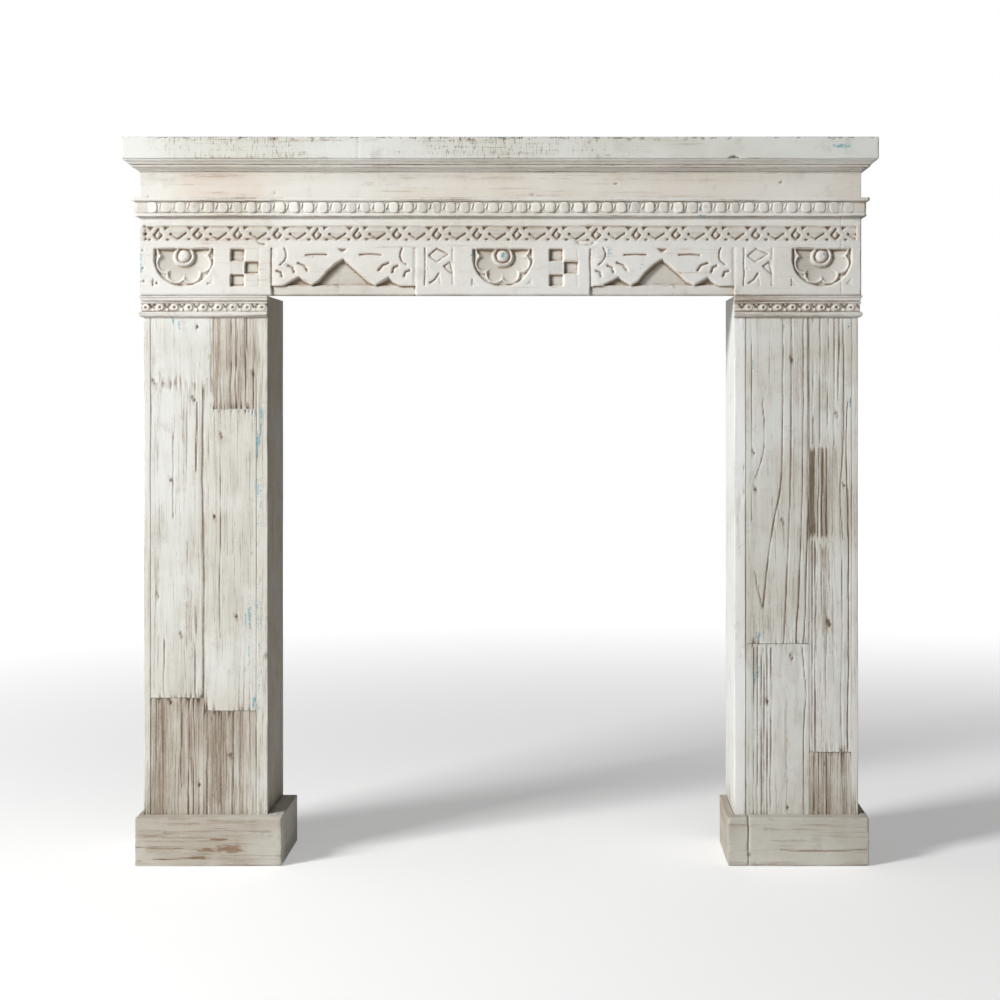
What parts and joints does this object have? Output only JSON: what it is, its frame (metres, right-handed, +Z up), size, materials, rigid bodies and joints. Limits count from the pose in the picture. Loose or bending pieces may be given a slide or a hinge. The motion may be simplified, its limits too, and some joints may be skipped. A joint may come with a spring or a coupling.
{
  "type": "fireplace mantelpiece",
  "caption": "freestanding fireplace surround in distressed whitewashed wood, with a thick shelf, mitred mouldings, a carved frieze board and two box legs on plinths",
  "frame": {"origin": "on the floor, at the middle of the overall width and depth", "axes": "+Z up; the front faces -Y and the wall side +Y; X runs along the shelf"},
  "size_m": [1.4, 0.23, 1.35],
  "materials": {
    "shelf_wood": "worn whitewash on a thick old board, teal and brown showing at the arrises",
    "moulding_wood": "worn whitewash, brown wash in the quirks",
    "header_wood": "worn whitewash over carving, brown wash in the cuts",
    "capital_wood": "worn whitewash, dark drilled eyes",
    "leg_wood": "thin whitewash over grey-brown weathered planks, open grain",
    "plinth_wood": "worn whitewash, bare rust-brown patches"
  },
  "bodies": {
    "root": {"shelf": "shelf_wood", "bed_moulding_front": "moulding_wood", "bed_moulding_left": "moulding_wood", "bed_moulding_right": "moulding_wood", "upper_board": "header_wood", "bead_moulding_front": "moulding_wood", "bead_moulding_left": "moulding_wood", "bead_moulding_right": "moulding_wood", "frieze_board": "header_wood", "header_end_left": "header_wood", "header_end_right": "header_wood", "left_outer_side": "leg_wood", "left_inner_side": "leg_wood", "left_front_outer_top": "leg_wood", "left_front_outer_foot": "leg_wood", "left_front_inner_top": "leg_wood", "left_front_inner_middle": "leg_wood", "left_front_inner_foot": "leg_wood", "left_capital_front": "capital_wood", "left_capital_return": "capital_wood", "left_plinth_front": "plinth_wood", "left_plinth_outer": "plinth_wood", "left_plinth_inner": "plinth_wood", "right_outer_side": "leg_wood", "right_inner_side": "leg_wood", "right_front_inner_top": "leg_wood", "right_front_inner_foot": "leg_wood", "right_front_outer_top": "leg_wood", "right_front_outer_foot": "leg_wood", "right_capital_front": "capital_wood", "right_capital_return": "capital_wood", "right_plinth_front": "plinth_wood", "right_plinth_end_block": "plinth_wood", "right_plinth_outer": "plinth_wood", "right_plinth_inner": "plinth_wood"}
  },
  "joints": []
}
